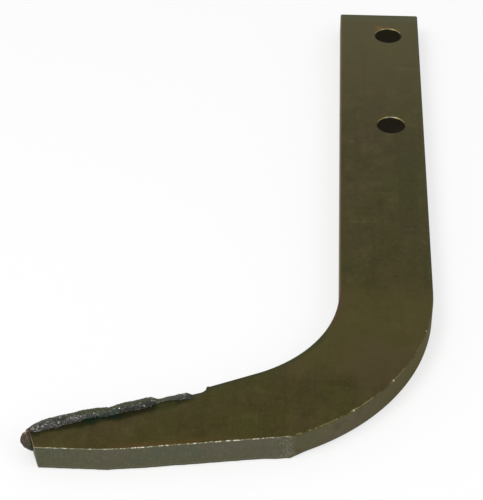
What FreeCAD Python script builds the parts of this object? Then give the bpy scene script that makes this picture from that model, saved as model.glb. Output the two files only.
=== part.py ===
import FreeCAD, Part
import math
import os
from FreeCAD import Vector

# A ridger tine: a flat steel bar bent on edge into a hook. The straight shank is bolted
# on through two holes, and the foot cuts the soil with its leading edge, which faces the
# inside of the hook. That edge and the tip carry a bead of hard weld metal.
# Millimetres. The tine lies flat: Z is up and the underside is at Z = 0. Y runs along the
# shank towards its end. The origin is midway between the two bolt holes.

# The flat bar, as rolled
BAR_WIDTH = 50.0
BAR_THICKNESS = 14.0
ROLLED_EDGE_RADIUS = 1.2

# The whole tine, along the shank and across to the tip
TINE_LENGTH = 403.0
TINE_REACH = 200.5

# Bolt holes in the shank
HOLE_COUNT = 2
HOLE_DIAMETER = 16.5
HOLE_SPACING = 100.0
HOLE_TO_SHANK_END = 24.5
HOLE_TO_OUTER_EDGE = 19.5
HOLE_CHAMFER = 0.5

# The edgewise bend. Its outer side starts a little sooner and turns a little wider
BEND_ANGLE = 65.0
BEND_INNER_RADIUS = 72.0
OUTER_RADIUS_EXTRA = 1.0
OUTER_BEND_LEAD = 2.5

# The foot's leading edge: left plain at first, then ground back by a step for the weld
PLAIN_EDGE_LENGTH = 26.5
STEP_DEPTH = 3.6
STEP_RUN = 1.4
STEP_FILLET_RADIUS = 5.0

# The short end face of the tip, cropped from the other side, so that it is undercut.
# Its lower end lies a little below the full circle of the outer bend
TIP_HEIGHT = 10.8
TIP_END_SLANT = 3.9
TIP_UNDERCUT = 1.2
TIP_BELOW_BEND = 2.5

# The foot's trailing edge, sheared off straight and then in a curve to the flat part under
# the tip. The sheared face leans out towards the underside, and a little in near the tip
SHEAR_SLOPE = 8.5
SHEAR_CURVE_RADIUS = 160.0
SHEAR_FLAT_LENGTH = 27.0
LEAN_AT_HEEL = 0.6
LEAN_BEYOND_HEEL = 0.35
LEAN_RUN = 12.0
LEAN_AT_CURVE = 0.15
LEAN_AT_TIP = -0.15

# The weld bead: a small first run in the ground step, a fuller second one, then the main
# run, which tapers off over the tip. Each starts on the end of the run before it, and the
# first two lie a little further in on the bar
FIRST_RUN_START = 6.0
FIRST_RUN_LENGTH = 27.5
FIRST_RUN_RADIUS = 2.3
FIRST_RUN_INWARD = 1.7
SECOND_RUN_START = 22.5
SECOND_RUN_LENGTH = 31.5
SECOND_RUN_RADIUS = 4.05
SECOND_RUN_INWARD = 1.4
MAIN_RUN_START = 48.0
MAIN_RUN_RADIUS = 4.1
MAIN_RUN_PAST_TIP = 1.0
MAIN_RUN_TAPER = 16.0
RIPPLE_HEIGHT = 0.12
RIPPLE_PITCH = 7.0
SECTION_SPACING = 3.5
NOSE_SECTION_SHARES = (0, 0.1, 0.4)
NOSE_STRETCH = 1.6
BLUNT_END_SHARE = 0.3
BEAD_OUT_SHARE = 0.6
BEAD_DROP_SHARE = 0.55

# The lobe where the bead turns over the tip's end face
LOBE_RADIUS = 4.8
LOBE_MIDDLE_RADIUS = 4.3
LOBE_END_RADIUS = 1.1
LOBE_DROP = 5.0
LOBE_END_DROP = 3.4
LOBE_OUT = 0.1
LOBE_LEAD = 3.6
LOBE_TO_TOE = 2.0
LOBE_TAPER = 1.6

# Allowances for the shapes that cut or are cut away
CUT_MARGIN = 1.0
CUT_REACH = 3 * BAR_WIDTH
HEEL_ALLOWANCE = 8.0
TOUCHING = 0.01

outer_x = HOLE_TO_OUTER_EDGE
inner_x = outer_x - BAR_WIDTH
end_y = HOLE_SPACING * (HOLE_COUNT - 1) / 2 + HOLE_TO_SHANK_END
low_y = end_y - TINE_LENGTH
tip_x = outer_x - TINE_REACH
outer_radius = BEND_INNER_RADIUS + BAR_WIDTH + OUTER_RADIUS_EXTRA
outer_bend_y = low_y + TIP_BELOW_BEND + outer_radius
bend_y = outer_bend_y - OUTER_BEND_LEAD


def heading(degrees):
    """Unit vector in plan, counted anticlockwise from +X."""
    return Vector(math.cos(math.radians(degrees)), math.sin(math.radians(degrees)), 0)


foot_heading = heading(270 - BEND_ANGLE)
inner_centre = Vector(inner_x - BEND_INNER_RADIUS, bend_y, 0)
outer_centre = Vector(outer_x - outer_radius, outer_bend_y, 0)
foot_start = inner_centre + heading(-BEND_ANGLE) * BEND_INNER_RADIUS
step_top = foot_start + foot_heading * PLAIN_EDGE_LENGTH
step_foot = step_top + Vector(-STEP_RUN, -STEP_DEPTH, 0)
tip_corner = Vector(tip_x, low_y + TIP_HEIGHT, 0)
tip_toe = Vector(tip_x + TIP_END_SLANT, low_y, 0)
ground_edge = tip_corner - step_foot
ground_angle = math.degrees(math.atan2(ground_edge.y, ground_edge.x))
step_angle = math.degrees(math.atan2(-STEP_DEPTH, -STEP_RUN))
fillet_reach = STEP_FILLET_RADIUS * math.tan(math.radians(step_angle - ground_angle) / 2)


def polyline(points):
    """Straight edges from point to point."""
    return [Part.makeLine(a, b) for a, b in zip(points, points[1:])]


def arc(centre, radius, first, last):
    """Arc in plan between two headings."""
    points = [centre + heading(angle) * radius for angle in (first, (first + last) / 2, last)]
    return Part.Arc(*points).toShape()


def bar_blank():
    """The bent bar, still full at the heel and beyond the tip."""
    outer_angle = BEND_ANGLE + HEEL_ALLOWANCE
    outer_end = outer_centre + heading(-outer_angle) * outer_radius
    outer_past_tip = outer_end + heading(270 - outer_angle) * TINE_REACH
    past_tip = tip_corner + heading(ground_angle) * BAR_WIDTH
    fillet_start = step_foot - heading(step_angle) * fillet_reach
    fillet_end = step_foot + heading(ground_angle) * fillet_reach
    fillet_centre = fillet_start + heading(step_angle - 90) * STEP_FILLET_RADIUS
    shank_corner = Vector(inner_x, end_y, 0)
    edges = polyline([shank_corner, Vector(inner_x, bend_y, 0)])
    edges.append(arc(inner_centre, BEND_INNER_RADIUS, 0, -BEND_ANGLE))
    edges += polyline([foot_start, step_top, fillet_start])
    edges.append(arc(fillet_centre, STEP_FILLET_RADIUS, step_angle + 90, ground_angle + 90))
    edges += polyline([fillet_end, past_tip, outer_past_tip, outer_end])
    edges.append(arc(outer_centre, outer_radius, -outer_angle, 0))
    edges += polyline([Vector(outer_x, outer_bend_y, 0), Vector(outer_x, end_y, 0), shank_corner])
    face = Part.Face(Part.Wire(edges))
    return face.extrude(Vector(0, 0, BAR_THICKNESS))


def is_rolled(edge):
    """True for the long edges that the bar has from the mill."""
    if edge.BoundBox.ZLength > TOUCHING:
        return False
    middle = edge.valueAt((edge.FirstParameter + edge.LastParameter) / 2)
    on_plan = Vector(middle.x, middle.y, 0)
    misses = [
        on_plan.x - inner_x,
        on_plan.x - outer_x,
        on_plan.distanceToPoint(inner_centre) - BEND_INNER_RADIUS,
        on_plan.distanceToPoint(outer_centre) - outer_radius,
        on_plan.distanceToPoint((foot_start + step_top) / 2),
    ]
    return min(abs(miss) for miss in misses) < TOUCHING


def heel_distance(point, direction):
    """Distance from a point on the shear line to the outer bend, or to where it passes nearest."""
    offset = point - outer_centre
    along = offset.dot(direction)
    half_chord_squared = along ** 2 - offset.dot(offset) + outer_radius ** 2
    return math.sqrt(max(0, half_chord_squared)) - along


def shear_outline(level):
    """Outline of what is sheared off the trailing edge, at one level."""
    lean_share = 1 - level / BAR_THICKNESS
    back = heading(SHEAR_SLOPE)
    flat_start = Vector(tip_x + SHEAR_FLAT_LENGTH, low_y, level)
    curve_centre = flat_start + Vector(0, SHEAR_CURVE_RADIUS, 0)
    curve_start = curve_centre + heading(SHEAR_SLOPE - 90) * SHEAR_CURVE_RADIUS
    curve_middle = curve_centre + heading(SHEAR_SLOPE / 2 - 90) * SHEAR_CURVE_RADIUS
    on_plan = Vector(curve_start.x, curve_start.y, 0)
    heel = curve_start + back * heel_distance(on_plan, back)

    def leaning(point, lean):
        return point - Vector(0, lean * lean_share, 0)

    right_end = leaning(heel + back * CUT_REACH, LEAN_AT_HEEL)
    heel_point = leaning(heel, LEAN_AT_HEEL)
    beyond_heel = leaning(heel - back * LEAN_RUN, LEAN_BEYOND_HEEL)
    curve_points = [
        leaning(curve_start, LEAN_AT_CURVE),
        leaning(curve_middle, (LEAN_AT_CURVE + LEAN_AT_TIP) / 2),
        leaning(flat_start, LEAN_AT_TIP),
    ]
    left_end = leaning(flat_start - Vector(CUT_REACH, 0, 0), LEAN_AT_TIP)
    away = Vector(0, -CUT_REACH, 0)
    edges = polyline([right_end, heel_point, beyond_heel, curve_points[0]])
    edges.append(Part.Arc(*curve_points).toShape())
    edges += polyline([curve_points[2], left_end, left_end + away, right_end + away, right_end])
    return Part.Wire(edges)


def tip_outline(level):
    """Outline of what is cropped off beyond the tip's end face, at one level."""
    lean = Vector(TIP_UNDERCUT * (1 - level / BAR_THICKNESS), 0, level)
    along_end = (tip_toe - tip_corner).normalize()
    first = tip_corner - along_end * CUT_REACH + lean
    last = tip_toe + along_end * CUT_REACH + lean
    away = Vector(-CUT_REACH, 0, 0)
    return Part.Wire(polyline([first, last, last + away, first + away, first]))


def cut_through(outline):
    """Solid that joins an outline below the bar to the same outline above it."""
    levels = (-CUT_MARGIN, BAR_THICKNESS + CUT_MARGIN)
    return Part.makeLoft([outline(level) for level in levels], True, True)


def bolt_hole(index):
    """One through hole with a broken edge at both faces."""
    radius = HOLE_DIAMETER / 2
    y = HOLE_SPACING * (index - (HOLE_COUNT - 1) / 2)
    up = Vector(0, 0, 1)
    hole = Part.makeCylinder(radius, BAR_THICKNESS + 2 * CUT_MARGIN, Vector(0, y, -CUT_MARGIN), up)
    wide = radius + HOLE_CHAMFER
    lower = Part.makeCone(wide, radius, HOLE_CHAMFER, Vector(0, y, 0), up)
    upper = Part.makeCone(radius, wide, HOLE_CHAMFER, Vector(0, y, BAR_THICKNESS - HOLE_CHAMFER), up)
    return hole.fuse(lower).fuse(upper)


def tine_bar():
    """The bent, sheared and drilled bar."""
    blank = bar_blank()
    bar = blank.makeFillet(ROLLED_EDGE_RADIUS, [edge for edge in blank.Edges if is_rolled(edge)])
    bar = bar.cut(cut_through(shear_outline))
    bar = bar.cut(cut_through(tip_outline))
    for index in range(HOLE_COUNT):
        bar = bar.cut(bolt_hole(index))
    return bar


def ring(centre, angle, radius):
    """Upright circle that faces along a heading."""
    circle = Part.makeCircle(radius, Vector(0, 0, 0), Vector(1, 0, 0))
    circle.rotate(Vector(0, 0, 0), Vector(0, 0, 1), angle)
    circle.translate(centre)
    return Part.Wire(circle)


def stations(length, nose, taper):
    """Distances along a run of weld, closer together in its rounded ends."""
    plain = length - nose - taper
    count = max(1, round(plain / SECTION_SPACING))
    places = [share * nose for share in NOSE_SECTION_SHARES]
    places += [nose + plain * i / count for i in range(count + 1)]
    return places + [length - share * taper for share in reversed(NOSE_SECTION_SHARES)]


def nose_share(to_end, nose):
    """Share of the full radius, which falls off towards a run's rounded end."""
    inside = max(0, 1 - to_end / nose)
    return max(BLUNT_END_SHARE, math.sqrt(1 - inside ** 2))


def weld_run(start, length, full_radius, taper, inward=0):
    """One run of weld over the ground edge's upper corner, with a nose and a taper at its ends."""
    outward = heading(ground_angle - 90)
    nose = NOSE_STRETCH * full_radius
    rings = []
    for distance in stations(length, nose, taper):
        radius = full_radius + RIPPLE_HEIGHT * math.sin(2 * math.pi * distance / RIPPLE_PITCH)
        radius *= min(nose_share(distance, nose), nose_share(length - distance, taper))
        centre = step_foot + heading(ground_angle) * (start + distance)
        centre += outward * (BEAD_OUT_SHARE * radius - inward)
        centre.z = BAR_THICKNESS - BEAD_DROP_SHARE * radius
        rings.append(ring(centre, ground_angle, radius))
    return Part.makeLoft(rings, True, True)


def tip_lobe():
    """Weld metal that has rolled over the tip's end face, thinning towards the toe."""
    along_end = tip_toe - tip_corner
    end_angle = math.degrees(math.atan2(along_end.y, along_end.x))
    outward = heading(end_angle - 90) * LOBE_OUT
    begin = tip_corner - heading(end_angle) * LOBE_LEAD
    length = along_end.Length + LOBE_LEAD - LOBE_TO_TOE
    rings = []
    for distance in stations(length, LOBE_RADIUS, LOBE_TAPER):
        share = distance / length
        if share < 0.5:
            radius = LOBE_RADIUS + (LOBE_MIDDLE_RADIUS - LOBE_RADIUS) * share * 2
        else:
            radius = LOBE_END_RADIUS + (LOBE_MIDDLE_RADIUS - LOBE_END_RADIUS) * (1 - share) * 2
        radius *= min(nose_share(distance, LOBE_RADIUS), nose_share(length - distance, LOBE_TAPER))
        centre = begin + heading(end_angle) * distance + outward
        centre.z = BAR_THICKNESS - LOBE_DROP - (LOBE_END_DROP - LOBE_DROP) * share
        rings.append(ring(centre, end_angle, radius))
    return Part.makeLoft(rings, True, True)


def hardfacing_bead(bar):
    """The weld bead, seated face to face on the bar."""
    main_length = ground_edge.Length + MAIN_RUN_PAST_TIP - MAIN_RUN_START
    bead = weld_run(MAIN_RUN_START, main_length, MAIN_RUN_RADIUS, MAIN_RUN_TAPER)
    for start, length, radius, inward in (
        (SECOND_RUN_START, SECOND_RUN_LENGTH, SECOND_RUN_RADIUS, SECOND_RUN_INWARD),
        (FIRST_RUN_START, FIRST_RUN_LENGTH, FIRST_RUN_RADIUS, FIRST_RUN_INWARD),
    ):
        bead = bead.fuse(weld_run(start, length, radius, NOSE_STRETCH * radius, inward))
    bead = bead.fuse(tip_lobe())
    return bead.cut(bar)


os.makedirs("parts", exist_ok=True)
tine = tine_bar()
tine.exportStep("parts/tine_bar.step")
hardfacing_bead(tine).exportStep("parts/hardfacing_bead.step")
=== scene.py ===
import math

import bmesh
import bpy
from mathutils import Matrix, Vector, noise


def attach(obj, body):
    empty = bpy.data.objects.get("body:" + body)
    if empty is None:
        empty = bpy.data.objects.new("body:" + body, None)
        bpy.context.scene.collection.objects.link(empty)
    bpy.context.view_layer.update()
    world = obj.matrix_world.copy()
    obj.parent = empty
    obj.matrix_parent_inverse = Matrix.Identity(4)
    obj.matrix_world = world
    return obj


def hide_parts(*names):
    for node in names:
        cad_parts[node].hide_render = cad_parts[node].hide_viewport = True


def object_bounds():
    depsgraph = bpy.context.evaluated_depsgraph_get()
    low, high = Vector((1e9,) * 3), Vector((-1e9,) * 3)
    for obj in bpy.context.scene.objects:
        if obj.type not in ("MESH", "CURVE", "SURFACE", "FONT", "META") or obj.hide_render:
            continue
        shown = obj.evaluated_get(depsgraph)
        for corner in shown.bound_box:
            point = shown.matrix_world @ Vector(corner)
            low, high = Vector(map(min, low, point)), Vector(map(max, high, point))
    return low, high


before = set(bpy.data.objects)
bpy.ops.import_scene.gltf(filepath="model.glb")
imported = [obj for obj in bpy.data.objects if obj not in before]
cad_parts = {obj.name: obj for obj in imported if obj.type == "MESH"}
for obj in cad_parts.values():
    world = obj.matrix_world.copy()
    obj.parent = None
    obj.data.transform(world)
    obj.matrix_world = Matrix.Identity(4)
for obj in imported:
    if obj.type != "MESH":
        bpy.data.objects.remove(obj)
cad_low, cad_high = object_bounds()

# The camera stands in front of the foot and looks down along the shank, turned a little
# towards the tip. Its lens is long, as in a product photograph.
CAMERA_PLACE = Vector((-0.0494, -0.9284, 0.6264))
CAMERA_DOWN = 39.005
CAMERA_TURN = 2.627
FOCAL_PIXELS = 1778.2
PICTURE_HEIGHT = 500

camera_data = bpy.data.cameras.new("camera")
camera_data.lens = FOCAL_PIXELS * camera_data.sensor_width / PICTURE_HEIGHT
camera = bpy.data.objects.new("camera", camera_data)
camera.location = CAMERA_PLACE
camera.rotation_euler = (math.radians(90 - CAMERA_DOWN), 0, math.radians(CAMERA_TURN))
bpy.context.scene.collection.objects.link(camera)
bpy.context.scene.camera = camera
bpy.context.scene.view_settings.view_transform = "Standard"

# The bar: hot-rolled flat steel, bent on edge into a hook. The foot's trailing edge is sheared
# off, the tip cropped, the leading edge ground back for the weld, and two bolt holes drilled.
# The skin is mill scale under a film of oil, and bare where an edge was cut.

# Sizes are in millimetres, and the finished mesh is brought to metres
MM = 0.001
THICKNESS = 14.0
INNER_X = -30.5
OUTER_X = 19.5
END_Y = 74.5
LOW_Y = -328.5
TIP_X = -181.0
TIP_HEIGHT = 10.8
TIP_SLANT = 3.9
TIP_UNDERCUT = 1.2
INNER_RADIUS = 72.0
OUTER_RADIUS = 123.0
BEND = 65.0
BEND_Y = LOW_Y + OUTER_RADIUS
OUTER_BEND_EARLIER = 2.5
OUTER_BEND_Y = BEND_Y + OUTER_BEND_EARLIER
PLAIN_EDGE = 26.5
STEP = Vector((-1.4, -3.6, 0))
STEP_FILLET = 5.0
SHEAR_SLOPE = 8.5
SHEAR_RADIUS = 160.0
SHEAR_FLAT = 27.0
HOLE_RADIUS = 8.25
HOLE_YS = (50.0, -50.0)
ROLLED_RADIUS = 1.2


def heading(degrees):
    """Unit vector in plan, counted anticlockwise from +X."""
    return Vector((math.cos(math.radians(degrees)), math.sin(math.radians(degrees)), 0))


def angle_of(vector):
    """Heading of a vector in plan, in degrees."""
    return math.degrees(math.atan2(vector.y, vector.x))


def run_on(shape, corner, offset, count=1):
    """Draws a straight chain of edges on from a corner, and gives all its new corners."""
    made = []
    for _ in range(count):
        corner = bmesh.ops.extrude_vert_indiv(shape, verts=[corner])["verts"][0]
        bmesh.ops.translate(shape, verts=[corner], vec=offset / count)
        made.append(corner)
    return made


def turn_on(shape, corner, centre, degrees, count):
    """Draws an arc of edges on from a corner, and gives all its new corners."""
    made = []
    for _ in range(count):
        corner = bmesh.ops.extrude_vert_indiv(shape, verts=[corner])["verts"][0]
        turn = Matrix.Rotation(math.radians(degrees / count), 3, "Z")
        bmesh.ops.rotate(shape, verts=[corner], cent=centre, matrix=turn)
        made.append(corner)
    return made


top = Vector((0, 0, THICKNESS))
inner_centre = Vector((INNER_X - INNER_RADIUS, BEND_Y, THICKNESS))
outer_centre = Vector((OUTER_X - OUTER_RADIUS, OUTER_BEND_Y, THICKNESS))
foot_start = inner_centre + heading(-BEND) * INNER_RADIUS
foot_heading = heading(270 - BEND)
step_top = foot_start + foot_heading * PLAIN_EDGE
step_foot = step_top + STEP
tip_corner = Vector((TIP_X, LOW_Y + TIP_HEIGHT, THICKNESS))
tip_toe = Vector((TIP_X + TIP_SLANT, LOW_Y, THICKNESS))
ground = (tip_corner - step_foot).normalized()
ground_out = Vector((ground.y, -ground.x, 0))
ground_length = (tip_corner - step_foot).length
fillet_turn = (angle_of(ground) - angle_of(STEP)) % 360 - 360
fillet_reach = STEP_FILLET * math.tan(math.radians(-fillet_turn / 2))
fillet_start = step_foot - STEP.normalized() * fillet_reach
fillet_centre = fillet_start + heading(angle_of(STEP) - 90) * STEP_FILLET
flat_start = Vector((TIP_X + SHEAR_FLAT, LOW_Y, THICKNESS))
curve_centre = flat_start + Vector((0, SHEAR_RADIUS, 0))
curve_start = curve_centre + heading(SHEAR_SLOPE - 90) * SHEAR_RADIUS
to_centre = curve_start - outer_centre
past_centre = to_centre.dot(heading(SHEAR_SLOPE))
half_chord = math.sqrt(past_centre ** 2 - to_centre.length_squared + OUTER_RADIUS ** 2)
heel = curve_start + heading(SHEAR_SLOPE) * (half_chord - past_centre)

bar = bmesh.new()
under = bar.verts.layers.float_vector.new("under")
rolled = bar.verts.layers.float.new("rolled")

# The outline in plan: from the shank's end down its inner side, round the tip, and back along
# the sheared edge and the outer side. The last number of each part is its count of edges
first = bmesh.ops.create_vert(bar, co=Vector((INNER_X, END_Y, THICKNESS)))["vert"][0]
inner_side = [first] + run_on(bar, first, Vector((0, BEND_Y - END_Y, 0)), 40)
inner_side += turn_on(bar, inner_side[-1], inner_centre, -BEND, 48)
inner_side += run_on(bar, inner_side[-1], foot_heading * PLAIN_EDGE, 20)
step_side = run_on(bar, inner_side[-1], fillet_start - step_top, 3)
step_side += turn_on(bar, step_side[-1], fillet_centre, fillet_turn, 8)
ground_side = run_on(bar, step_side[-1], tip_corner - step_side[-1].co, 60)
tip_side = run_on(bar, ground_side[-1], tip_toe - tip_corner, 10)
sheared = run_on(bar, tip_side[-1], flat_start - tip_toe, 10)
sheared += turn_on(bar, sheared[-1], curve_centre, SHEAR_SLOPE, 56)
sheared += run_on(bar, sheared[-1], heel - curve_start, 90)
outer_side = turn_on(bar, sheared[-1], outer_centre, -angle_of(heel - outer_centre), 72)
outer_side += run_on(bar, outer_side[-1], Vector((0, END_Y - OUTER_BEND_Y, 0)), 40)
bmesh.ops.contextual_create(bar, geom=[outer_side[-1], first])

# How far the sheared face leans out at the underside, which fades out round the heel, and how
# far the tip's end is undercut. Sides that the mill rolled are marked too
LEAN_AT_TIP = -0.15
LEAN_AT_CURVE = 0.15
LEAN_BEYOND_HEEL = 0.35
LEAN_AT_HEEL = 1.1
LEAN_RUN = 14.0
LEAN_ROUND_HEEL = (0.9, 0.6, 0.3, 0.1)
for corner in [tip_side[-1]] + sheared:
    if corner.co.x < curve_start.x:
        share = max(0, corner.co.x - flat_start.x) / (curve_start.x - flat_start.x)
        lean = LEAN_AT_TIP + (LEAN_AT_CURVE - LEAN_AT_TIP) * share
    else:
        to_heel = (heel - corner.co).length
        share = min(1, to_heel / LEAN_RUN) ** 2
        lean = LEAN_AT_HEEL + (LEAN_BEYOND_HEEL - LEAN_AT_HEEL) * share
    corner[under] = Vector((0, -lean, 0))
for corner, lean in zip(outer_side, LEAN_ROUND_HEEL):
    corner[under] = (corner.co - outer_centre).normalized() * lean
for corner in tip_side[:-1]:
    corner[under] = Vector((TIP_UNDERCUT, 0, 0))
tip_side[-1][under] = Vector((TIP_UNDERCUT, -LEAN_AT_TIP, 0))
ground_side[-1][under] = ground * (TIP_UNDERCUT / ground.x)
for corner in inner_side + [sheared[-1]] + outer_side:
    corner[rolled] = 1

# The shears left a slightly wavy edge, and the grinder a small nib at the step's top
WAVE_HEIGHT = 0.18
WAVE_PITCH = 4.0
NIB = Vector((-0.15, 0.45, 0))
for corner in sheared[2:-2]:
    corner.co.y += WAVE_HEIGHT * noise.noise(corner.co / WAVE_PITCH)
inner_side[-1].co += NIB

UPRIGHT_CUTS = 7
bmesh.ops.contextual_create(bar, geom=bar.edges[:])
made = bmesh.ops.extrude_face_region(bar, geom=bar.faces[:], use_keep_orig=True)
lower = [v for v in made["geom"] if isinstance(v, bmesh.types.BMVert)]
bmesh.ops.translate(bar, verts=lower, vec=-top)
uprights = [e for e in bar.edges if abs(e.verts[0].co.z - e.verts[1].co.z) > THICKNESS / 2]
bmesh.ops.subdivide_edges(bar, edges=uprights, cuts=UPRIGHT_CUTS)

# The lean grows evenly down the sheared face, and faster near the bottom at the tip and heel
for corner in bar.verts:
    below = 1 - corner.co.z / THICKNESS
    corner.co += corner[under] * (below ** 2 if corner[under].x else below)

# A burr that stands out a little from the sheared face's lower edge. It keeps within the
# tine's length
BURR_X = -142.6
BURR_HALF = 6.0
BURR_DROP = 0.4
BURR_HEIGHT = 3.0
for corner in bar.verts:
    aside = abs(corner.co.x - BURR_X) / BURR_HALF
    above = corner.co.z / BURR_HEIGHT
    if corner.co.y < LOW_Y + TIP_HEIGHT and aside < 1 and above < 1:
        corner.co.y -= BURR_DROP * (1 - aside ** 2) * (1 - above)
    corner.co.y = max(corner.co.y, LOW_Y)
bmesh.ops.recalc_face_normals(bar, faces=bar.faces[:])


# Corners nearer than this to a level, or to the shank's end, lie on it
NEAR = 0.01


def is_level(edge, heights):
    """True for an edge that lies wholly at one of some heights."""
    return any(all(abs(v.co.z - height) < NEAR for v in edge.verts) for height in heights)


# Slots of the bar's mesh, in the order of its materials. A side face gets its slot by its
# place and by where its normal points: up, to the trailing side or to the tip
SCALE, SHEARED, BARE, GROUND, BORE, RIM = range(6)
UPRIGHT_NORMAL = 0.5
TRAILING_NORMAL = -0.95
TIP_NORMAL = -0.8
for face in bar.faces:
    face.material_index = SCALE
    middle = face.calc_center_median()
    if abs(face.normal.z) < UPRIGHT_NORMAL:
        if middle.y < heel.y and face.normal.y < TRAILING_NORMAL:
            face.material_index = SHEARED
        elif face.normal.x < TIP_NORMAL and middle.y < tip_corner.y + 1:
            face.material_index = SHEARED
        elif middle.x < step_top.x and face.normal.y > 0:
            face.material_index = GROUND

# The mill's rounded edges, the ground edge's broken corner, then the shears' narrow burr
soft = [
    e for e in bar.edges
    if is_level(e, (0, THICKNESS)) and all(v[rolled] > 0.5 for v in e.verts)
    and not all(v.co.y > END_Y - NEAR for v in e.verts)
]
bmesh.ops.bevel(
    bar, geom=soft, offset=ROLLED_RADIUS, offset_type="OFFSET", segments=5, profile=0.5,
    affect="EDGES", material=-1, clamp_overlap=False,
)
GROUND_BREAK = 0.8
broken = [
    e for e in bar.edges
    if is_level(e, (THICKNESS,)) and any(f.material_index == GROUND for f in e.link_faces)
    and all(v.co.x < fillet_start.x + 0.1 and v.co.x > TIP_X + 1 for v in e.verts)
]
bmesh.ops.bevel(
    bar, geom=broken, offset=GROUND_BREAK, offset_type="OFFSET", segments=3, profile=0.5,
    affect="EDGES", material=GROUND, clamp_overlap=False,
)
BURR_WIDTH = 0.35
CUT_EDGE_ANGLE = 50
cut_edges = [
    e for e in bar.edges
    if len(e.link_faces) == 2 and e.calc_face_angle(0) > math.radians(CUT_EDGE_ANGLE)
    and any(f.material_index == SHEARED for f in e.link_faces)
]
burr = bmesh.ops.bevel(
    bar, geom=cut_edges, offset=BURR_WIDTH, offset_type="OFFSET", segments=2, profile=0.5,
    affect="EDGES", material=-1, clamp_overlap=False,
)
for face in burr["faces"]:
    face.material_index = BARE if face.calc_center_median().z > 1 else SHEARED

# The bevels reach a hair past the shank's end, so their corners are brought back to it
LEVEL_NORMAL = 0.999
for corner in bar.verts:
    corner.co.y = min(corner.co.y, END_Y)
for face in bar.faces:
    face.smooth = abs(face.normal.z) < LEVEL_NORMAL
bmesh.ops.scale(bar, verts=bar.verts[:], vec=(MM, MM, MM))
bar_mesh = bpy.data.meshes.new("bent_bar")
bar.to_mesh(bar_mesh)
bar.free()
bent_bar = bpy.data.objects.new("bent_bar", bar_mesh)
bpy.context.scene.collection.objects.link(bent_bar)


class Wire:
    """A node's output. Arithmetic on it adds Math nodes, and node() adds any other kind."""

    def __init__(self, socket):
        self.socket = socket

    def node(self, kind, settings, sockets, output=0):
        """Adds a node: its settings first, then the values or links of its sockets."""
        tree = self.socket.id_data
        made = tree.nodes.new("ShaderNode" + kind)
        for name, value in settings.items():
            setattr(made, name, value)
        for name, value in sockets.items():
            if isinstance(value, Wire):
                tree.links.new(value.socket, made.inputs[name])
            else:
                made.inputs[name].default_value = value
        return Wire(made.outputs[output])

    def math(self, operation, first, second=0.0):
        """A Math node of this tree."""
        return self.node("Math", {"operation": operation}, {0: first, 1: second})

    def __add__(self, other):
        return self.math("ADD", self, other)

    def __sub__(self, other):
        return self.math("SUBTRACT", self, other)

    def __rsub__(self, other):
        return self.math("SUBTRACT", other, self)

    def __mul__(self, other):
        return self.math("MULTIPLY", self, other)

    def __abs__(self):
        return self.math("ABSOLUTE", self)

    __radd__ = __add__
    __rmul__ = __mul__

    def smooth(self, low, high):
        """0 below low, 1 above high and a soft step between them."""
        sockets = {"Value": self, "From Min": low, "From Max": high}
        return self.node("MapRange", {"interpolation_type": "SMOOTHSTEP"}, sockets)

    def within(self, low, high, soft):
        """1 between low and high, falling softly to 0 outside them."""
        return self.smooth(low - soft, low) * (1 - self.smooth(high, high + soft))

    def to(self, other, share):
        """This colour, turned into another by a share."""
        settings = {"data_type": "RGBA", "clamp_factor": True}
        return self.node("Mix", settings, {0: share, 6: self, 7: other}, 2)

    def grain(self, stretch, size, detail=3.0, rough=0.55):
        """Noise whose lumps are about size millimetres, stretched along the axes."""
        scaled = tuple(1 / (MM * size * s) for s in stretch)
        point = self.node("VectorMath", {"operation": "MULTIPLY"}, {0: self, 1: scaled})
        sockets = {"Vector": point, "Scale": 1.0, "Detail": detail, "Roughness": rough}
        return self.node("TexNoise", {}, sockets, "Fac")

    def part(self, direction, start):
        """Distance in millimetres from a start point along a direction."""
        sockets = {0: self, 1: tuple(value / MM for value in direction)}
        reached = self.node("VectorMath", {"operation": "DOT_PRODUCT"}, sockets, "Value")
        return reached - Vector(direction).dot(Vector(start))

    def distance(self, point):
        """Distance in millimetres from a point."""
        sockets = {0: self, 1: tuple(Vector(point) * MM)}
        return self.node("VectorMath", {"operation": "DISTANCE"}, sockets, "Value") * (1 / MM)

    def axis(self, index):
        """One of the three parts of this vector."""
        return self.node("SeparateXYZ", {}, {0: self}, index)

    def scratch(self, start, end, half_width):
        """1 along a line in plan between two points in millimetres."""
        run = Vector(end) - Vector(start)
        along = self.part(run.normalized().to_3d(), Vector(start).to_3d())
        across = self.part(Vector((-run.y, run.x)).normalized().to_3d(), Vector(start).to_3d())
        return along.within(0, run.length, 1.5) * (1 - abs(across).smooth(0, half_width))


def paint(red, green, blue):
    """A colour as it is read on a screen, 0 to 255, for a shader."""
    shares = [value / 255 for value in (red, green, blue)]
    return tuple(s / 12.92 if s < 0.04045 else ((s + 0.055) / 1.055) ** 2.4 for s in shares) + (1,)


def steel(name, colour, metallic, roughness):
    """A new material: it, its shader, a first colour, object coordinates and object normals."""
    material = bpy.data.materials.new(name)
    material.use_nodes = True
    nodes = material.node_tree.nodes
    shader = nodes["Principled BSDF"]
    shader.inputs["Metallic"].default_value = metallic
    shader.inputs["Roughness"].default_value = roughness
    shader.inputs["Specular IOR Level"].default_value = 0.2
    outputs = nodes.new("ShaderNodeTexCoord").outputs
    place = Wire(outputs["Object"])
    first_colour = place.node("Mix", {"data_type": "RGBA"}, {0: 0.0, 6: colour, 7: colour}, 2)
    return material, shader, first_colour, place, Wire(outputs["Normal"])


def feed(shader, **wires):
    """Links wires to the shader's sockets. An underscore stands for a space."""
    for name, wire in wires.items():
        shader.id_data.links.new(wire.socket, shader.inputs[name.replace("_", " ")])


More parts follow.
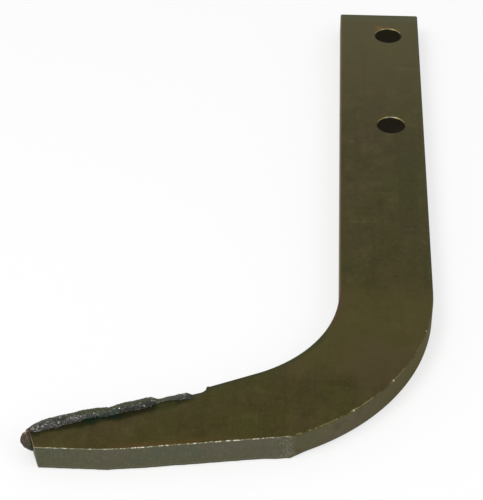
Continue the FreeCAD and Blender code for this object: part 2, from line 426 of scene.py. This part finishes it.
def bump(height, strength, distance):
    """A bump that feeds a shader's normal. The distance is in millimetres."""
    sockets = {"Height": height, "Strength": strength, "Distance": distance * MM}
    return height.node("Bump", {}, sockets, "Normal")


# Mill scale under oil: olive brown, greener and browner in patches, streaked along the bar
# and finely speckled. The oil's gloss adds a little white, which is taken off the colours.
GLOSS = 0.0095


def oiled(red, green, blue):
    """A colour as it is seen through the oil film, 0 to 255."""
    return tuple(max(0.002, share - GLOSS) for share in paint(red, green, blue)[:3]) + (1,)


scale, shader, colour, place, facing = steel("oiled_mill_scale", oiled(70, 65, 40), 0.85, 0.5)
along_ground = place.part(ground, step_foot)
inward = place.part(-ground_out, step_foot)
up_shank = place.part((0, 1, 0), (0, 0, 0))
across = place.part((1, 0, 0), (0, 0, 0))
patches = place.grain((1, 1.4, 1), 24, 2.0)
clouds = place.grain((1, 1, 1), 9, 3.0)
streaks = place.grain((1, 16, 1), 4.5, 3.0)
stipple = place.grain((1, 1.2, 1), 1.5, 4.0, 0.7)
lower_shank = 1 - up_shank.smooth(-75, -35)
colour = colour.to(oiled(69, 68, 38), patches.smooth(0.5, 0.66) * 0.65)
colour = colour.to(oiled(75, 66, 44), (1 - patches).smooth(0.5, 0.66) * 0.65)
colour = colour.to(oiled(60, 56, 35), (1 - clouds).smooth(0.5, 0.7) * 0.5)
colour = colour.to(oiled(82, 77, 50), clouds.smooth(0.52, 0.72) * 0.4)
colour = colour.to(oiled(60, 56, 36), streaks.smooth(0.5, 0.72) * 0.4)
speckle = lower_shank * 0.03 + 0.08
colour = colour.to(oiled(40, 36, 20), (1 - stipple).smooth(0.5, 0.66) * speckle)
colour = colour.to(oiled(104, 98, 70), stipple.smooth(0.5, 0.66) * speckle)

# The shank gets paler towards its end, partly as a painted sheen, and the bend is paler with a
# brown patch. The last few millimetres are greenish, and a dark strip runs beside the outer edge
colour = colour.to(oiled(88, 82, 54), up_shank.smooth(-90, 70) * 0.6)
in_bend = up_shank.within(-255, -215, 25)
colour = colour.to(oiled(86, 79, 47), in_bend * 0.4)
brown_patch = 1 - place.distance((-8, -266, THICKNESS)).smooth(10, 36)
colour = colour.to(oiled(80, 69, 50), brown_patch * clouds.smooth(0.36, 0.56) * 0.6)
colour = colour.to(oiled(80, 82, 62), up_shank.smooth(END_Y - 9, END_Y - 7) * 0.6)
dark_strip = across.within(4, 13, 2) * up_shank.within(-150, -60, 12)
colour = colour.to(oiled(62, 58, 38), dark_strip * clouds.smooth(0.35, 0.6) * 0.6)

# Fine pale scratches, straight across the shank
for start, end in (
    ((-26.0, -145.2), (-10.6, -144.6)),
    ((6.4, -150.7), (11.8, -150.4)),
    ((16.8, -150.9), (19.0, -150.8)),
    ((-29.6, -68.5), (-23.0, -68.0)),
    ((7.0, 12.0), (19.0, 11.6)),
):
    marks = place.scratch(start, end, 0.9) * stipple.smooth(0.4, 0.55)
    colour = colour.to(oiled(104, 98, 74), marks * 0.4)

# Rust round the holes' far rims, and a smudge of it beside the outer hole
for hole_y in HOLE_YS:
    to_hole = place.distance((0, hole_y, THICKNESS)) - HOLE_RADIUS
    ring = (1 - to_hole.smooth(1, 5)) * up_shank.smooth(hole_y + 2, hole_y + 8)
    colour = colour.to(oiled(98, 76, 42), ring * clouds.smooth(0.42, 0.6) * 0.5)
smudge = 1 - place.distance((-5.5, HOLE_YS[0] + 9.0, THICKNESS)).smooth(0.6, 4.0)
colour = colour.to(oiled(112, 86, 46), smudge * 0.7)

# Heat colours beside the inner edge: pink in the bend, green along the foot
from_bend = place.distance(inner_centre) - INNER_RADIUS
from_foot = place.part(heading(-BEND), foot_start)
along_foot = place.part(foot_heading, foot_start)
pink = (1 - from_bend.smooth(1.5, 4.5)) * up_shank.within(-228, -206, 6)
colour = colour.to(oiled(84, 66, 50), pink * 0.7)
in_foot = along_foot.smooth(-1, 1)
from_edge = from_foot * in_foot + from_bend * (1 - in_foot)
green = (1 - from_edge.smooth(1.5, 4.5)) * along_foot.within(-40, PLAIN_EDGE + 4, 8)
colour = colour.to(oiled(58, 62, 40), green * (0.3 + clouds.smooth(0.35, 0.6) * 0.5))

# The band of soot that the welding left beside the bead, darkened further by the bead's painted
# shadow. Its edge is ragged, and it is narrower towards the tip
bead_edge = 2.4 - along_ground.within(52, 60, 6) * 1.0 - along_ground.smooth(60, 70) * 0.5
ragged = inward - bead_edge + clouds * 4 - 2
soot_and_shadow_width = 4.9 + along_ground.within(48, 60, 8) * 0.6 - along_ground.smooth(66, 82) * 1.7
soot_and_shadow = (1 - (ragged - soot_and_shadow_width).smooth(-3.0, 0)) * along_ground.smooth(5, 16)
colour = colour.to(oiled(43, 43, 28), soot_and_shadow * 0.92)

# Heat colours: olive green beside the saddle between the first two runs, dark blue-green heat
# tint with painted shadow beside the second run's end, and brown along the sheared edge's middle
saddle_green = (inward + clouds * 4 - 2).within(3.5, 6.0, 2.5) * along_ground.within(17, 24, 3)
colour = colour.to(oiled(62, 64, 30), saddle_green * 0.6)
teal_tint_and_shadow = (1 - ragged.smooth(1.0, 4.0)) * along_ground.within(46, 60, 5)
colour = colour.to(oiled(30, 43, 34), teal_tint_and_shadow * 0.8)
above_shear = place.part(heading(SHEAR_SLOPE + 90), curve_start)
brown = (1 - above_shear.smooth(1.0, 4.5)) * across.within(-132, -96, 10)
colour = colour.to(oiled(88, 66, 38), brown * clouds.smooth(0.35, 0.6) * 0.5)

# The bar's sides and rounded edges are paler and greyer. The outer bend's side has a duller
# skin, which reflects less
tilt = facing.axis(2)
side = 1 - abs(tilt).smooth(0.2, 0.75)
side_colour = colour.to(oiled(98, 93, 71), 0.75)
side_colour = side_colour.to(oiled(100, 90, 70), patches.smooth(0.5, 0.64) * 0.5)
side_colour = side_colour.to(oiled(86, 88, 66), (1 - patches).smooth(0.5, 0.64) * 0.4)
side_colour = side_colour.to(oiled(66, 62, 42), clouds.smooth(0.52, 0.66) * 0.4)
side_colour = side_colour.to(oiled(118, 112, 86), stipple.smooth(0.56, 0.7) * 0.35)
faces_out = facing.axis(0).smooth(0.55, 0.95)
side_colour = side_colour.to(oiled(82, 76, 46), faces_out)
colour = colour.to(side_colour, side)

# The shank's inner side has a painted brown reflection and its outer one painted grey shade, and
# the foot's inner side is nearly black
painted_left_reflection = (0 - facing.axis(0)).smooth(0.25, 0.6) * up_shank.smooth(-215, -200)
colour = colour.to(oiled(110, 94, 74), painted_left_reflection * 0.8)
painted_right_shade = facing.axis(0).smooth(0.3, 0.6) * up_shank.smooth(-215, -190)
colour = colour.to(oiled(52, 55, 50), painted_right_shade * 0.9)
inner_foot = facing.axis(1).smooth(0.3, 0.7) * (1 - up_shank.smooth(-235, -215))
colour = colour.to(oiled(36, 38, 42), inner_foot * 0.85)

# The rolled edge above the outer side has a painted highlight, broken in places like worn metal,
# with three bare nicks round the bend. Each nick is given by its heading from the bend's centre,
# and by its strength
NICK_SETBACK = 0.35
worn_edge_highlight = tilt.within(0.62, 0.9, 0.06) * (0 - facing.axis(1)).smooth(0.1, 0.3)
colour = colour.to(oiled(124, 114, 80), worn_edge_highlight * (clouds + stipple).smooth(0.96, 1.12) * 0.7)
for angle, share in ((-49.0, 0.5), (-34.9, 0.6), (-15.2, 0.3)):
    on_edge = outer_centre + heading(angle) * (OUTER_RADIUS - NICK_SETBACK)
    on_edge -= Vector((0, 0, NICK_SETBACK))
    nick = 1 - place.distance(on_edge).smooth(0.3, 0.85)
    colour = colour.to(paint(200, 196, 170), nick * share)

# The shears rubbed the side just past the heel, and the lower rounded edge has painted shadow
outer_face = (0 - facing.axis(1)).smooth(0.2, 0.5)
pale_heel = (1 - place.part(heading(SHEAR_SLOPE), heel).smooth(0.3, 3.0)) * outer_face
colour = colour.to(oiled(116, 114, 98), pale_heel * side * stipple.smooth(0.4, 0.6) * 0.45)
colour = colour.to(oiled(46, 44, 30), (0 - tilt).smooth(0.1, 0.5) * side * 0.8)
feed(
    shader, Base_Color=colour, Metallic=0.85 - faces_out * side * 0.8,
    Roughness=0.5 + faces_out * side * 0.4, Normal=bump(stipple + clouds * 2, 0.2, 0.3),
)

# The sheared and cropped faces: paler, greyer and finely torn, with bright specks at the heel.
# Along the foot of the face run a pale burnished line with a painted highlight, and a dark line of
# painted contact shadow
cut_face, shader, colour, place, facing = steel("sheared_face", paint(90, 88, 68), 0.85, 0.5)
torn = place.grain((1, 1, 1.6), 1.3, 4.0, 0.7)
clouds = place.grain((1.6, 1, 1), 13, 3.0)
height = place.axis(2) * (1 / MM)
colour = colour.to(paint(83, 89, 73), clouds.smooth(0.5, 0.62) * 0.6)
colour = colour.to(paint(94, 88, 76), (1 - clouds).smooth(0.5, 0.64) * 0.6)
colour = colour.to(paint(118, 116, 96), torn.smooth(0.52, 0.7) * 0.35)
colour = colour.to(paint(66, 64, 46), (1 - torn).smooth(0.52, 0.7) * 0.3)
near_heel = place.part((1, 0, 0), (heel.x - 9, 0, 0)).smooth(0, 5)
colour = colour.to(paint(122, 122, 108), near_heel * torn.smooth(0.45, 0.6) * 0.45)
# A pale burnished line with a painted highlight, then painted contact shadow at the very foot
colour = colour.to(paint(112, 110, 84), height.within(0.9, 1.5, 0.4) * 0.35)
colour = colour.to(paint(52, 50, 30), (1 - height.smooth(0.4, 0.9)) * 0.9)
end_face = (0 - facing.axis(0)).smooth(0.4, 0.7)
colour = colour.to(paint(66, 66, 46), end_face * 0.8)
feed(shader, Base_Color=colour, Normal=bump(torn, 0.4, 0.3))

# Bare steel on the burr, with painted glints in dashes that fade towards the tip and the heel
bare, shader, colour, place, facing = steel("bare_edge", paint(104, 101, 78), 0.85, 0.35)
glint = place.grain((1.6, 1, 1), 0.85, 3.0)
lengthwise = place.part((1, 0, 0), (0, 0, 0))
glint_strength = 0.95 - lengthwise.smooth(-85, -60) * 0.4 - (1 - lengthwise.smooth(-150, -140)) * 0.45
glint_strength = glint_strength * place.grain((1, 1, 1), 9, 2.0).smooth(0.34, 0.5)
colour = colour.to(paint(225, 222, 202), glint.smooth(0.47, 0.6) * glint_strength)
near_tip = 1 - lengthwise.smooth(-173, -169)
colour = colour.to(paint(120, 113, 88), near_tip * 0.85)
feed(shader, Base_Color=colour)

# The edge ground back for the weld, greenish from the heat
ground_face, shader, colour, place, facing = steel("ground_edge", paint(56, 60, 46), 0.85, 0.45)
scratches = place.grain((1, 1, 8), 0.5, 2.0)
colour = colour.to(paint(78, 82, 64), scratches.smooth(0.4, 0.7))
colour = colour.to(paint(34, 36, 30), facing.axis(1).smooth(0.6, 0.95) * 0.7)
feed(shader, Base_Color=colour, Normal=bump(scratches, 0.3, 0.15))

# The drilled bores, painted nearly black as the shade deep inside the holes
bore, shader, colour, place, facing = steel("bore_painted_shade", paint(29, 25, 8), 0.0, 0.6)
rings = place.grain((6, 6, 1), 0.5, 2.0)
colour = colour.to(paint(43, 36, 14), rings.smooth(0.4, 0.7))
feed(shader, Base_Color=colour)

# The holes' broken edges, with a painted golden and grey highlight where they face the light
rim, shader, colour, place, facing = steel("hole_rim", paint(50, 46, 30), 0.85, 0.4)
tints = place.grain((1, 1, 1), 3.5, 2.0)
lit = colour.to(paint(112, 100, 62), 1.0).to(paint(118, 122, 104), tints.smooth(0.48, 0.56))
colour = colour.to(lit, (0 - facing.axis(1)).smooth(0.1, 0.4))
feed(shader, Base_Color=colour)

bar_finishes = (scale, cut_face, bare, ground_face, bore, rim)
for finish in bar_finishes:
    bar_mesh.materials.append(finish)

# The drill with its countersink, which cuts the two holes and breaks their edges
HOLE_BREAK = 0.5
DRILL_OVER = 2.0
DRILL_FACETS = 72
SHARP_ANGLE = 35
for hole_y in HOLE_YS:
    drill = bmesh.new()
    wide = HOLE_RADIUS + HOLE_BREAK
    lip = bmesh.ops.create_vert(drill, co=Vector((0, hole_y, -DRILL_OVER)))["vert"][0]
    for offset in (
        (wide, 0, 0),
        (0, 0, DRILL_OVER),
        (-HOLE_BREAK, 0, HOLE_BREAK),
        (0, 0, THICKNESS - 2 * HOLE_BREAK),
        (HOLE_BREAK, 0, HOLE_BREAK),
        (0, 0, DRILL_OVER),
        (-wide, 0, 0),
    ):
        lip = run_on(drill, lip, Vector(offset))[0]
    bmesh.ops.spin(
        drill, geom=drill.verts[:] + drill.edges[:], cent=(0, hole_y, 0), axis=(0, 0, 1),
        angle=2 * math.pi, steps=DRILL_FACETS, use_merge=True,
    )
    bmesh.ops.remove_doubles(drill, verts=drill.verts[:], dist=0.001)
    bmesh.ops.recalc_face_normals(drill, faces=drill.faces[:])
    for face in drill.faces:
        middle = face.calc_center_median()
        slanted = min(abs(middle.z), abs(THICKNESS - middle.z)) < HOLE_BREAK
        face.material_index = RIM if slanted else BORE
        face.smooth = True
    bmesh.ops.scale(drill, verts=drill.verts[:], vec=(MM, MM, MM))
    drill_mesh = bpy.data.meshes.new("drill")
    drill.to_mesh(drill_mesh)
    for finish in bar_finishes:
        drill_mesh.materials.append(finish)
    drill.free()
    tool = bpy.data.objects.new("drill", drill_mesh)
    bpy.context.scene.collection.objects.link(tool)
    cut = bent_bar.modifiers.new("hole", "BOOLEAN")
    cut.operation = "DIFFERENCE"
    cut.solver = "EXACT"
    cut.object = tool
    bpy.context.view_layer.update()
    drilled = bpy.data.meshes.new_from_object(
        bent_bar.evaluated_get(bpy.context.evaluated_depsgraph_get())
    )
    bent_bar.modifiers.clear()
    bent_bar.data = drilled
    bpy.data.objects.remove(tool)
bent_bar.data.set_sharp_from_angle(angle=math.radians(SHARP_ANGLE))
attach(bent_bar, "root")
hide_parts("tine_bar")

# The weld bead: hard weld metal laid in three runs over the ground edge's upper corner, and
# rolled over the tip's end face as a lobe. It is rough and glittering over the bar's face, and
# smoother on its outer side and in the saddle between the first two runs.

# Each run is given by its start and end along the ground edge, its full radius, the lengths
# of its rounded nose and taper, and how far its middle is shifted outwards. It may be fatter
# at its start, by its swell. It sinks over the edge from one depth to another, between two
# distances from its start
RUNS = (
    {
        "start": 6.0, "end": 33.5, "radius": 2.4, "nose": 3.7, "taper": 3.7,
        "shift": -1.7, "swell": 0.6, "sink": (0.0, 1.1, 2.0, 14.0),
    },
    {
        "start": 22.5, "end": 54.5, "radius": 4.15, "nose": 6.5, "taper": 13.0,
        "shift": -1.4, "swell": 0.0, "sink": (1.1, 0.0, 1.0, 4.0),
    },
    {
        "start": 44.0, "end": ground_length + 1.0, "radius": 4.15, "nose": 18.0,
        "taper": 16.0, "shift": 0.0, "swell": 0.0, "sink": (0.0, 0.0, 0.0, 1.0),
    },
)
SWELL_INWARD = 1.5
SINK_DOWN = 0.81
BLUNT = 0.3
BEAD_OUT = 0.6
BEAD_DROP = 0.55

# A run's middle wanders a little from side to side
WANDER = 0.35
WANDER_PITCH = 5

# The main run spreads over the bar's face as it nears the tip
SPREAD = 0.9
SPREAD_FROM = 60.0
SPREAD_RUN = 13.0

# The lobe starts above the tip's corner by its lead, thins out and ends short of the toe
LOBE_RADIUS = 4.8
LOBE_MIDDLE_RADIUS = 4.3
LOBE_END_RADIUS = 1.0
LOBE_DROP = 5.0
LOBE_END_DROP = 3.4
LOBE_OUT = 0.1
LOBE_LEAD = 3.7
LOBE_TO_TOE = 1.7
LOBE_TAPER = 1.6

# All runs are rows of rings, and a voxel remesh fuses them
RING_POINTS = 28
RING_STEP = 0.8
FUSE_SIZE = 0.28


def lay_tube(shape, rings):
    """Joins upright rings, each a centre, a heading and a radius, into one closed tube."""
    before = None
    for index, (centre, direction, radius) in enumerate(rings):
        turn = direction.to_track_quat("Z", "Y").to_matrix().to_4x4()
        made = bmesh.ops.create_circle(
            shape, cap_ends=index in (0, len(rings) - 1), segments=RING_POINTS,
            radius=radius, matrix=Matrix.Translation(centre) @ turn,
        )
        edges = list({e for v in made["verts"] for e in v.link_edges})
        if before:
            bmesh.ops.bridge_loops(shape, edges=before + edges)
        before = edges


def rounded(to_end, nose):
    """Share of the full radius, which falls off towards a rounded end."""
    inside = max(0, 1 - to_end / nose)
    return max(BLUNT, math.sqrt(max(0, 1 - inside ** 2)))


bead = bmesh.new()
for run in RUNS:
    rings = []
    length = run["end"] - run["start"]
    count = round(length / RING_STEP)
    for index in range(count + 1):
        distance = length * index / count
        swell = run["swell"] * (1 - index / count)
        radius = (run["radius"] + swell) * rounded(distance, run["nose"])
        radius *= rounded(length - distance, run["taper"])
        sink_first, sink_last, sink_from, sink_to = run["sink"]
        share = max(0, min(1, (distance - sink_from) / (sink_to - sink_from)))
        sink = sink_first + (sink_last - sink_first) * share
        out = BEAD_OUT * radius + run["shift"] - swell * SWELL_INWARD + sink
        out += WANDER * noise.noise(Vector((distance / WANDER_PITCH, run["start"], 0)))
        centre = step_foot + ground * (run["start"] + distance) + ground_out * out
        centre.z = THICKNESS - BEAD_DROP * radius - sink * SINK_DOWN
        rings.append((centre, ground, radius))
    lay_tube(bead, rings)
for corner in bead.verts:
    inside = max(0, (step_foot - corner.co).dot(ground_out))
    along = (corner.co - step_foot).dot(ground)
    share = max(0, min(1, (along - SPREAD_FROM) / SPREAD_RUN))
    corner.co -= ground_out * inside * SPREAD * share
end_heading = (tip_toe - tip_corner).normalized()
end_out = Vector((end_heading.y, -end_heading.x, 0))
lobe_length = (tip_toe - tip_corner).length + LOBE_LEAD - LOBE_TO_TOE
rings = []
count = round(lobe_length / RING_STEP)
for index in range(count + 1):
    distance = lobe_length * index / count
    share = distance / lobe_length
    if share < 0.5:
        radius = LOBE_RADIUS + (LOBE_MIDDLE_RADIUS - LOBE_RADIUS) * share * 2
    else:
        radius = LOBE_END_RADIUS + (LOBE_MIDDLE_RADIUS - LOBE_END_RADIUS) * (1 - share) * 2
    radius *= min(rounded(distance, LOBE_RADIUS), rounded(lobe_length - distance, LOBE_TAPER))
    centre = tip_corner + end_heading * (distance - LOBE_LEAD) + end_out * LOBE_OUT
    centre.z = THICKNESS - LOBE_DROP + (LOBE_DROP - LOBE_END_DROP) * share
    rings.append((centre, end_heading, radius))
lay_tube(bead, rings)
bmesh.ops.recalc_face_normals(bead, faces=bead.faces[:])
bead_mesh = bpy.data.meshes.new("weld_bead")
bead.to_mesh(bead_mesh)
bead.free()
weld_bead = bpy.data.objects.new("weld_bead", bead_mesh)
bpy.context.scene.collection.objects.link(weld_bead)
fuse = weld_bead.modifiers.new("fuse", "REMESH")
fuse.mode = "VOXEL"
fuse.voxel_size = FUSE_SIZE
bpy.context.view_layer.update()
fused = bpy.data.meshes.new_from_object(
    weld_bead.evaluated_get(bpy.context.evaluated_depsgraph_get())
)
weld_bead.modifiers.clear()
weld_bead.data = fused

# Slow and small lumps everywhere, and grains that lie along the bead and are strongest over
# the bar's face. The relief that they make is kept on the mesh, so that the colour can paint
# shade into the pits and highlights onto the crests. A rate is in lumps per millimetre, and a
# height in millimetres
SLOW_RATE = 0.35
SLOW_HEIGHT = 0.25
LUMP_RATE = 0.9
LUMP_HEIGHT = 0.14
LUMP_OFFSET = Vector((7, 3, 1))
TWIST_RATE = 0.8
TWIST_REACH = 0.9
TWIST_OFFSETS = (Vector((0, 5, 0)), Vector((11, 5, 0)), Vector((22, 5, 0)))
GRAIN_SIZE = 1.2
GRAIN_STRETCH = 1.7
GRAIN_HEIGHT = 0.6
GRAIN_DEPTH = 0.3
FINE_RATE = 2.4
FINE_HEIGHT = 0.12
RELIEF_GAIN = 4

# The grains fade where the bead turns outwards, and in the saddle between the first two runs.
# The least shares that stay of them there are named too
TURNED_OUT = 0.8
OUTER_ROUGH = 0.25
SADDLE = 20.5
SADDLE_HALF = 4
SADDLE_ROUGH = 0.3

# The bead stays inside the part's box by this much
INSET = 0.02
bead = bmesh.new()
bead.from_mesh(fused)
for _ in range(2):
    bmesh.ops.smooth_vert(
        bead, verts=bead.verts[:], factor=0.5, use_axis_x=True, use_axis_y=True, use_axis_z=True,
    )
bead.normal_update()
relief = bead.verts.layers.float.new("relief")
moves = []
for corner in bead.verts:
    point = corner.co
    lumps = noise.noise(point * SLOW_RATE) * SLOW_HEIGHT
    lumps += noise.noise(point * LUMP_RATE + LUMP_OFFSET) * LUMP_HEIGHT
    rough = max(OUTER_ROUGH, min(1, TURNED_OUT - corner.normal.dot(ground_out)))
    from_saddle = abs((point - step_foot).dot(ground) - SADDLE)
    rough *= max(SADDLE_ROUGH, min(1, from_saddle / SADDLE_HALF))
    twist = [noise.noise(point * TWIST_RATE + offset) * TWIST_REACH for offset in TWIST_OFFSETS]
    point = point + Vector(twist)
    laid = Vector((point.dot(ground) / GRAIN_STRETCH, point.dot(ground_out), point.z))
    nearest, second = noise.voronoi(laid / GRAIN_SIZE)[0][:2]
    grains = (min(2 * GRAIN_DEPTH, second - nearest) - GRAIN_DEPTH) * GRAIN_HEIGHT * rough
    fine = noise.noise(point * FINE_RATE) * FINE_HEIGHT * rough
    corner[relief] = (grains + fine) * RELIEF_GAIN
    moves.append(corner.normal * (lumps + grains + fine))
for corner, move in zip(bead.verts, moves):
    corner.co += move
    corner.co.z = min(corner.co.z, cad_high.z / MM - INSET)
    corner.co.x = max(corner.co.x, cad_low.x / MM + INSET)
for face in bead.faces:
    face.smooth = True
bmesh.ops.scale(bead, verts=bead.verts[:], vec=(MM, MM, MM))
bead.to_mesh(fused)
bead.free()

# The weld metal: grey grains with painted shade in the pits, painted highlights on the crests
# and painted glinting specks, and olive on the outer side
weld, shader, colour, place, facing = steel("weld_metal", paint(72, 72, 66), 0.6, 0.42)
relief = place.node("Attribute", {"attribute_name": "relief"}, {}, "Fac")
outward = place.part(ground_out, step_foot)
along_ground = place.part(ground, step_foot)
grit = place.grain((1, 1, 1), 0.9, 3.0, 0.7)
glint_specks = place.grain((1, 1, 1), 1.6, 1.0)
clouds = place.grain((1, 1, 1), 8, 2.0)
# Painted highlights on the crests and painted shade in the pits
lit_crests = (relief + grit * 1.6 - 0.8).smooth(0.0, 0.6)
shaded_pits = (0 - relief - grit * 1.6 + 0.8).smooth(0.0, 0.6)
rough_grey = colour.to(paint(100, 97, 98), clouds.smooth(0.45, 0.6) * 0.6)
lit_crest_share = 0.7 - along_ground.within(20, 60, 6) * 0.2
rough_grey = rough_grey.to(paint(150, 149, 144), lit_crests * lit_crest_share)
rough_grey = rough_grey.to(paint(32, 33, 28), shaded_pits * 0.75)
rough_grey = rough_grey.to(paint(240, 240, 234), (glint_specks + relief * 0.05).smooth(0.71, 0.75))
olive = colour.to(paint(66, 69, 47), 1.0).to(paint(116, 119, 88), lit_crests * 0.4)
olive = olive.to(paint(50, 52, 34), shaded_pits * 0.5)
from_seat = outward + 1.4 * (1 - along_ground.smooth(46, 54)) + clouds * 3 - 1.5
outer_part = (from_seat + along_ground.within(48, 60, 6) * 0.9).smooth(1.2, 2.4)
olive_share = 0.65 - along_ground.smooth(66, 76) * 0.35 + along_ground.within(34, 62, 6) * 0.3
colour = rough_grey.to(olive, outer_part * olive_share)

# Greenish where the second run ends, smooth and olive grey from the thin first run to the
# saddle, and painted shade on the back and where it meets the bar's face
green_part = along_ground.within(46, 60, 5) * (1 - outward.smooth(-0.8, 1.0))
colour = colour.to(paint(46, 64, 54), green_part * 0.6)
thin_part = 1 - along_ground.smooth(16, 22)
colour = colour.to(paint(80, 83, 66), thin_part * 0.3)
# Painted highlights glinting on the thin first run's crests
colour = colour.to(paint(142, 146, 120), thin_part * lit_crests * glint_specks.smooth(0.5, 0.62) * 0.7)
smooth_part = along_ground.within(18, 23, 3)
colour = colour.to(paint(72, 74, 60), smooth_part * 0.8)
back = facing.axis(1).smooth(0.45, 0.85)
colour = colour.to(paint(44, 44, 34), back * 0.85)
foot_part = place.part((0, 0, 1), (0, 0, THICKNESS - 1)).smooth(0, 1)
shaded_bead_foot = (1 - outward.smooth(-1.2, 0.0)) * foot_part
colour = colour.to(paint(34, 35, 30), shaded_bead_foot * clouds.smooth(0.3, 0.55) * 0.7)

# The lobe over the tip: purplish brown, with painted shade along its lower rim, a dark edge by
# the bar's end, and a copper-coloured mark on top that is heat tint with a painted highlight
past_end = place.part(end_out, tip_corner)
lobe_colour = colour.to(paint(78, 64, 54), 1.0).to(paint(100, 85, 74), lit_crests * 0.4)
lobe_colour = lobe_colour.to(paint(62, 61, 48), clouds.smooth(0.4, 0.6) * 0.7)
pink_part = 1 - place.distance(tip_corner + Vector((-0.8, -3.2, -1.2))).smooth(0.8, 3.2)
lobe_colour = lobe_colour.to(paint(100, 80, 68), pink_part * 0.3)
lobe_colour = lobe_colour.to(paint(42, 38, 26), shaded_pits * 0.5)
# Painted shade on the lobe's downward-facing rim
shaded_low_rim = 1 - facing.axis(2).smooth(-0.2, 0.5)
lobe_colour = lobe_colour.to(paint(50, 49, 37), shaded_low_rim * 0.8)
lobe_colour = lobe_colour.to(paint(46, 40, 24), (1 - past_end.smooth(0.2, 1.6)) * 0.8)
colour = colour.to(lobe_colour, (past_end + grit - 0.5).smooth(-0.9, -0.1))
# Copper-coloured heat tint with a painted highlight, and a painted glint beside it
from_mark = place.distance(tip_corner + Vector((-1.6, 0.4, -0.4)))
colour = colour.to(paint(150, 116, 82), (1 - from_mark.smooth(0.4, 2.0)) * 0.7)
from_glint = place.distance(tip_corner + Vector((-2.0, -0.7, -0.4)))
colour = colour.to(paint(196, 152, 112), (1 - from_glint.smooth(0.2, 0.9)) * 0.8)

# A pale streak along the main run's inner side, just before the lobe
near_end = along_ground.within(ground_length - 4.5, ground_length - 1, 1)
streak = near_end * outward.within(-2.6, -1.3, 0.4)
colour = colour.to(paint(146, 138, 148), streak * 0.6)
feed(shader, Base_Color=colour, Normal=bump(grit, 0.5, 0.25))
fused.materials.clear()
fused.materials.append(weld)
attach(weld_bead, "root")
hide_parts("hardfacing_bead")

# The pale floor that the tine lies on, which the camera sees as nearly white with a soft
# shadow. White light comes from all round, with a soft lamp from the left and a weaker one
# from the right.
FLOOR_HALF = 12.0
FLOOR_DROP = 0.0004
FLOOR_WHITE = (0.95, 0.95, 0.95, 1)
SHADOW_KEPT = 0.35
WORLD_LIGHT = 0.6
LAMPS = (
    {"name": "key", "place": (-0.9, -0.7, 1.6), "size": 0.9, "watts": 14.0},
    {"name": "fill", "place": (1.1, -0.9, 1.1), "size": 1.2, "watts": 6.0},
)
LAMPS_AIM = Vector((-0.05, -0.15, 0))


def seen_white(tree):
    """1 for the rays that show the white background: from the camera, gloss and glass."""
    ray = tree.nodes.new("ShaderNodeLightPath")
    seen = Wire(ray.outputs["Is Camera Ray"])
    seen = seen.math("MAXIMUM", seen, Wire(ray.outputs["Is Glossy Ray"]))
    return seen.math("MAXIMUM", seen, Wire(ray.outputs["Is Transmission Ray"]))


floor_shape = bmesh.new()
bmesh.ops.create_grid(
    floor_shape, x_segments=1, y_segments=1, size=FLOOR_HALF,
    matrix=Matrix.Translation((0, 0, -FLOOR_DROP)),
)
floor_mesh = bpy.data.meshes.new("floor")
floor_shape.to_mesh(floor_mesh)
floor_shape.free()
floor = bpy.data.objects.new("floor", floor_mesh)
bpy.context.scene.collection.objects.link(floor)
floor_paint = bpy.data.materials.new("pale_floor")
floor_paint.use_nodes = True
tree = floor_paint.node_tree
tree.nodes.clear()
seen = seen_white(tree)
white = seen.node("Emission", {}, {"Color": (1, 1, 1, 1), "Strength": 1.0})
matt = seen.node("BsdfDiffuse", {}, {"Color": FLOOR_WHITE})
mixed = seen.node("MixShader", {}, {0: seen * (1 - SHADOW_KEPT), 1: matt, 2: white})
tree.links.new(mixed.socket, tree.nodes.new("ShaderNodeOutputMaterial").inputs["Surface"])
floor_mesh.materials.append(floor_paint)

world = bpy.data.worlds.new("studio")
bpy.context.scene.world = world
world.use_nodes = True
tree = world.node_tree
tree.nodes.clear()
strength = seen_white(tree) * (1 - WORLD_LIGHT) + WORLD_LIGHT
glow = strength.node("Background", {}, {"Color": (1, 1, 1, 1), "Strength": strength})
tree.links.new(glow.socket, tree.nodes.new("ShaderNodeOutputWorld").inputs["Surface"])

for lamp in LAMPS:
    light = bpy.data.lights.new(lamp["name"], "AREA")
    light.size = lamp["size"]
    light.energy = lamp["watts"]
    fitting = bpy.data.objects.new(lamp["name"], light)
    fitting.location = lamp["place"]
    aim = LAMPS_AIM - fitting.location
    fitting.rotation_euler = aim.to_track_quat("-Z", "Y").to_euler()
    bpy.context.scene.collection.objects.link(fitting)
